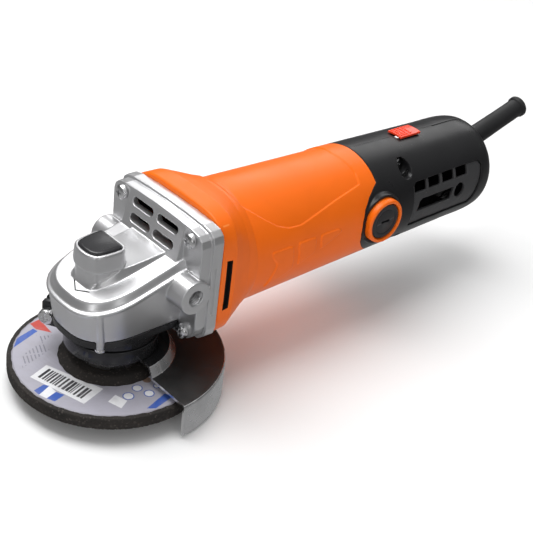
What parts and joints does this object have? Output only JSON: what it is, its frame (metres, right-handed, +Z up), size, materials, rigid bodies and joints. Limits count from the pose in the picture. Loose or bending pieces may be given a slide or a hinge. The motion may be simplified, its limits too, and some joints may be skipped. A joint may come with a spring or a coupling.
{
  "type": "angle grinder",
  "caption": "Small corded angle grinder: cast gear head with spindle lock, round motor body with slide switch, cord guard, clamped wheel guard and grinding wheel.",
  "frame": {"origin": "centre of the spindle's lower end face", "axes": "+Z up along the spindle axis, +Y back along the motor axis towards the cord guard, +X to the tool's right side"},
  "size_m": [0.1138, 0.354, 0.0968],
  "materials": {
    "cast_aluminium": "polished die casting, bright on top and satin on the sides",
    "orange_plastic": "satin moulded, fine texture",
    "black_plastic": "satin moulded",
    "grey_plastic": "matt moulded, dark grey",
    "red_plastic": "gloss",
    "machined_steel": "turned",
    "plated_screw": "bright zinc plated",
    "blackened_steel": "black stove enamel, semi-gloss",
    "spring_steel": "drawn wire",
    "lamination_steel": "stacked electrical sheet",
    "enamelled_copper": "enamelled winding wire",
    "brass": "turned",
    "carbon": "pressed graphite, matt",
    "bonded_abrasive": "coarse grit in dark resin, with a printed paper face",
    "black_rubber": "soft moulded, satin"
  },
  "bodies": {
    "housing": {"gear_case": "cast_aluminium", "lock_spring": "spring_steel", "spindle_bush": "brass", "spindle_bearing_outer_ring": "machined_steel", "bearing_cover": "blackened_steel", "cover_plate_screw_1": "plated_screw", "cover_plate_screw_2": "plated_screw", "cover_plate_screw_3": "plated_screw", "cover_plate_screw_4": "plated_screw", "case_screw_1": "plated_screw", "case_screw_2": "plated_screw", "case_screw_3": "plated_screw", "case_screw_4": "plated_screw", "motor_housing": "orange_plastic", "air_baffle": "black_plastic", "front_bearing_outer_ring": "machined_steel", "rear_bearing_outer_ring": "machined_steel", "stator_core": "lamination_steel", "field_coil_upper": "enamelled_copper", "field_coil_lower": "enamelled_copper", "brush_holder_left": "brass", "brush_holder_right": "brass", "carbon_brush_left": "carbon", "carbon_brush_right": "carbon", "brush_bezel_left": "orange_plastic", "brush_bezel_right": "orange_plastic", "brush_cap_left": "black_plastic", "brush_cap_right": "black_plastic", "rear_cover_left": "black_plastic", "rear_cover_right": "black_plastic", "vent_panel_left": "grey_plastic", "vent_panel_right": "grey_plastic", "cover_screw_upper": "plated_screw", "cover_screw_lower": "plated_screw", "switch_body": "grey_plastic", "cord_boot": "black_rubber"},
    "spindle_assembly": {"spindle": "machined_steel", "bevel_gear": "machined_steel", "spindle_bearing_inner_ring": "machined_steel", "inner_flange": "machined_steel", "grinding_wheel": "bonded_abrasive", "lock_nut": "machined_steel"},
    "armature": {"armature_shaft": "machined_steel", "pinion": "machined_steel", "armature_core": "lamination_steel", "winding_front": "enamelled_copper", "winding_rear": "enamelled_copper", "commutator": "enamelled_copper", "fan": "black_plastic", "front_bearing_inner_ring": "machined_steel", "rear_bearing_inner_ring": "machined_steel"},
    "guard": {"guard_clamp_band": "blackened_steel", "wheel_guard": "blackened_steel", "guard_clamp_screw": "plated_screw", "guard_clamp_nut": "plated_screw"},
    "spindle_lock": {"lock_button": "black_plastic", "lock_pin": "machined_steel"},
    "switch_slider": {"switch_knob": "red_plastic", "switch_link": "black_plastic"}
  },
  "joints": [
    {"name": "spindle_spin", "type": "hinge", "parent": "housing", "child": "spindle_assembly", "pos_m": [0, 0, 0.061], "axis": [0, 0, 1], "continuous": true},
    {"name": "armature_spin", "type": "hinge", "parent": "housing", "child": "armature", "pos_m": [0, 0, 0.061], "axis": [0, 1, 0], "continuous": true},
    {"name": "guard_turn", "type": "hinge", "parent": "housing", "child": "guard", "pos_m": [0, 0, 0.061], "axis": [0, 0, 1], "range_deg": [-45, 45]},
    {"name": "lock_press", "type": "slide", "parent": "housing", "child": "spindle_lock", "axis": [0, 0, -1], "range_m": [0, 0.0035], "stiffness_N_per_m": 300, "springref_m": -0.002, "deforming": ["lock_spring"]},
    {"name": "switch_slide", "type": "slide", "parent": "housing", "child": "switch_slider", "axis": [0, -1, 0], "range_m": [0, 0.006]}
  ],
  "couplings": [
    {"joint": "armature_spin", "follows": "spindle_spin", "ratio": 4}
  ]
}
